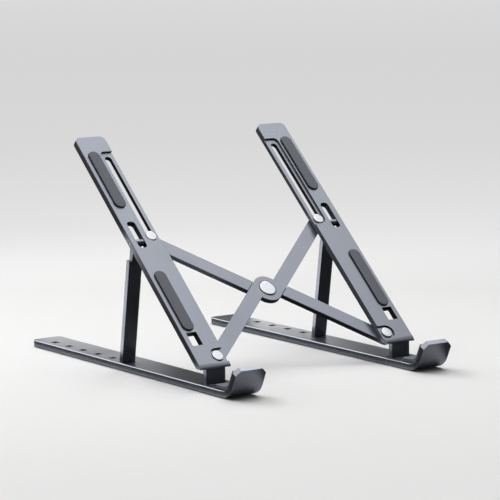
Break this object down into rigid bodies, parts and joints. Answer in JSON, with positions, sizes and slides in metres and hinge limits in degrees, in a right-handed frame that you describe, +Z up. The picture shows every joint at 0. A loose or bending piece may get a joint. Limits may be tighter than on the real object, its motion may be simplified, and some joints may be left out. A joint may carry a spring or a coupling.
{
  "type": "laptop stand",
  "caption": "Folding laptop stand: hooked base rails, padded tilting arms, prop legs in a row of holes, and a scissor of crossed bars.",
  "frame": {"origin": "on the desk under the middle of the whole stand", "axes": "+X to the user's right, -Y towards the user and the hooks, +Z up"},
  "size_m": [0.1854, 0.266, 0.1609],
  "materials": {
    "rail_metal": "bead-blasted and anodised dark blue-grey",
    "arm_metal": "bead-blasted and anodised dark blue-grey",
    "bar_metal": "bead-blasted and anodised dark blue-grey",
    "leg_metal": "bead-blasted and anodised dark blue-grey",
    "block_metal": "anodised dark blue-grey",
    "silicone": "matte dark grey silicone",
    "polished_rivet": "bright polished",
    "steel_pin": "dark polished pin end",
    "nylon_washer": "natural nylon"
  },
  "bodies": {
    "rail_left": {"base_rail_left": "rail_metal", "hook_lining_left": "silicone", "front_foot_left": "silicone", "back_foot_left": "silicone", "base_pin_left": "steel_pin"},
    "arm_left": {"arm_left": "arm_metal", "hinge_block_left": "block_metal", "upper_pad_left": "silicone", "lower_pad_left": "silicone", "leg_pin_left": "steel_pin", "pivot_rivet_left": "polished_rivet", "pivot_washer_left": "nylon_washer"},
    "leg_left": {"leg_left": "leg_metal"},
    "bar_upper": {"cross_bar_upper": "bar_metal", "centre_rivet": "polished_rivet", "centre_washer": "nylon_washer", "slot_rivet_right": "polished_rivet", "slot_washer_right": "nylon_washer"},
    "bar_lower": {"cross_bar_lower": "bar_metal", "slot_rivet_left": "polished_rivet", "slot_washer_left": "nylon_washer"},
    "arm_right": {"arm_right": "arm_metal", "hinge_block_right": "block_metal", "upper_pad_right": "silicone", "lower_pad_right": "silicone", "leg_pin_right": "steel_pin", "pivot_rivet_right": "polished_rivet", "pivot_washer_right": "nylon_washer"},
    "leg_right": {"leg_right": "leg_metal"},
    "rail_right": {"base_rail_right": "rail_metal", "hook_lining_right": "silicone", "front_foot_right": "silicone", "back_foot_right": "silicone", "base_pin_right": "steel_pin"}
  },
  "joints": [
    {"name": "tilt", "type": "hinge", "parent": "rail_left", "child": "arm_left", "pos_m": [-0.08019, -0.08898, 0.0029], "axis": [1, 0, 0], "range_deg": [0, 45]},
    {"name": "leg_swing_left", "type": "hinge", "parent": "arm_left", "child": "leg_left", "pos_m": [-0.08489, -0.00375, 0.09211], "axis": [1, 0, 0], "range_deg": [-56.51, 0]},
    {"name": "spread", "type": "hinge", "parent": "arm_left", "child": "bar_upper", "pos_m": [-0.07339, -0.07997, 0.01898], "axis": [0, -0.6743, 0.7385], "range_deg": [0, 49.62]},
    {"name": "cross", "type": "hinge", "parent": "bar_upper", "child": "bar_lower", "pos_m": [0, -0.03962, 0.05583], "axis": [0, -0.6743, 0.7385], "range_deg": [-99.44, 0]},
    {"name": "spread_right", "type": "hinge", "parent": "bar_lower", "child": "arm_right", "pos_m": [0.07339, -0.07997, 0.01898], "axis": [0, -0.6743, 0.7385], "range_deg": [0, 49.82]},
    {"name": "leg_swing_right", "type": "hinge", "parent": "arm_right", "child": "leg_right", "pos_m": [0.08489, -0.00375, 0.09211], "axis": [1, 0, 0], "range_deg": [-56.51, 0]},
    {"name": "tilt_right", "type": "hinge", "parent": "arm_right", "child": "rail_right", "pos_m": [0.08019, -0.08898, 0.0029], "axis": [1, 0, 0], "range_deg": [-45.2, 0]}
  ],
  "couplings": [
    {"joint": "leg_swing_left", "follows": "tilt", "ratio": -1.2513},
    {"joint": "leg_swing_right", "follows": "tilt", "ratio": -1.2513},
    {"joint": "tilt_right", "follows": "tilt", "ratio": -1},
    {"joint": "cross", "follows": "spread", "ratio": -2},
    {"joint": "spread_right", "follows": "spread", "ratio": 1}
  ]
}
